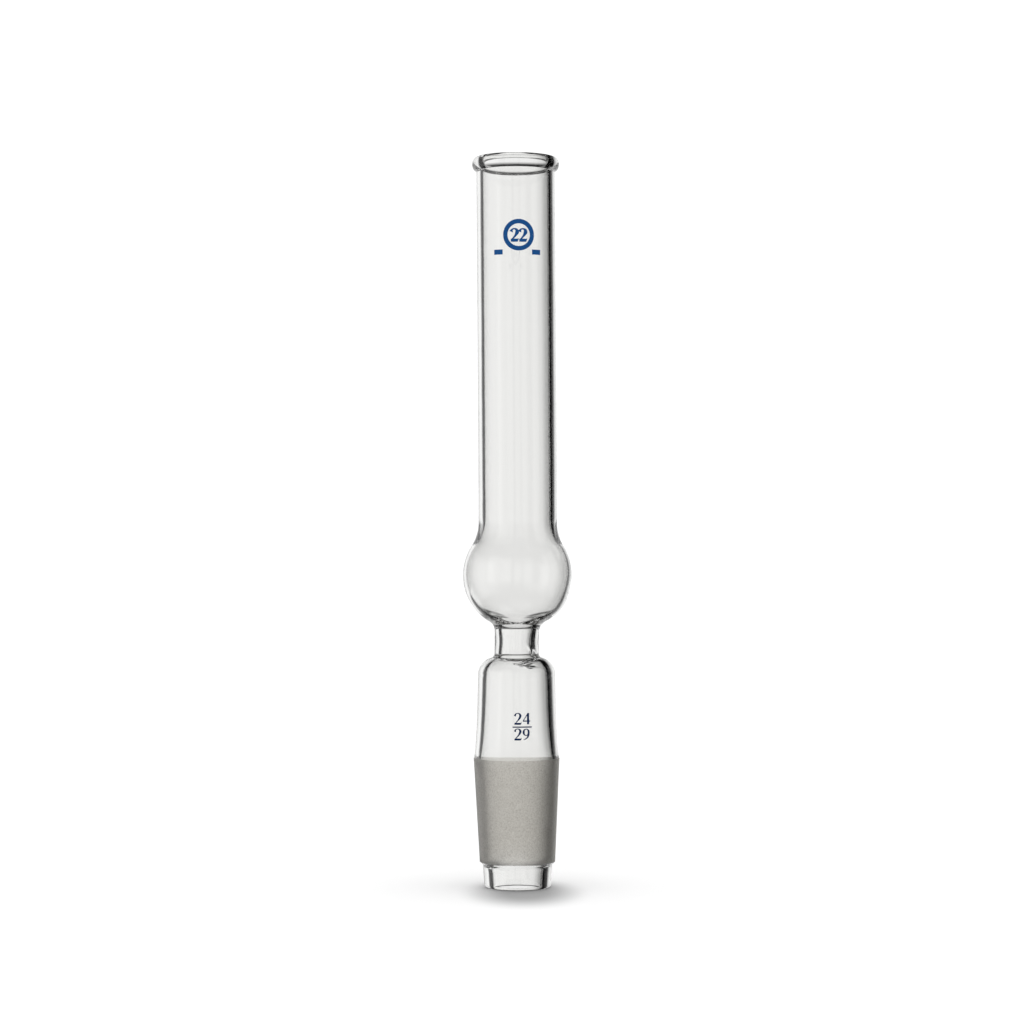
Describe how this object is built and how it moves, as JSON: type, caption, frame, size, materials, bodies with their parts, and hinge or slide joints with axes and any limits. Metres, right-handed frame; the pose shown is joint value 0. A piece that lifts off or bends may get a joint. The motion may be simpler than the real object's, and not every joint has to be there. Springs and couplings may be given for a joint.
{
  "type": "drying tube",
  "caption": "Straight glass drying tube with a round bulb, a narrow neck and a ground cone that plugs into a flask or condenser.",
  "frame": {"origin": "centre of the flat end face of the tip, where the tube stands", "axes": "+Z along the tube's axis, from the ground cone's tip up to the rim; +X to the right and +Y away from someone who faces the printed size mark"},
  "size_m": [0.0304, 0.0304, 0.2043],
  "materials": {
    "clear_glass": "clear, fire-polished; frosted on the ground cone"
  },
  "bodies": {
    "root": {"drying_tube": "clear_glass"}
  },
  "joints": []
}
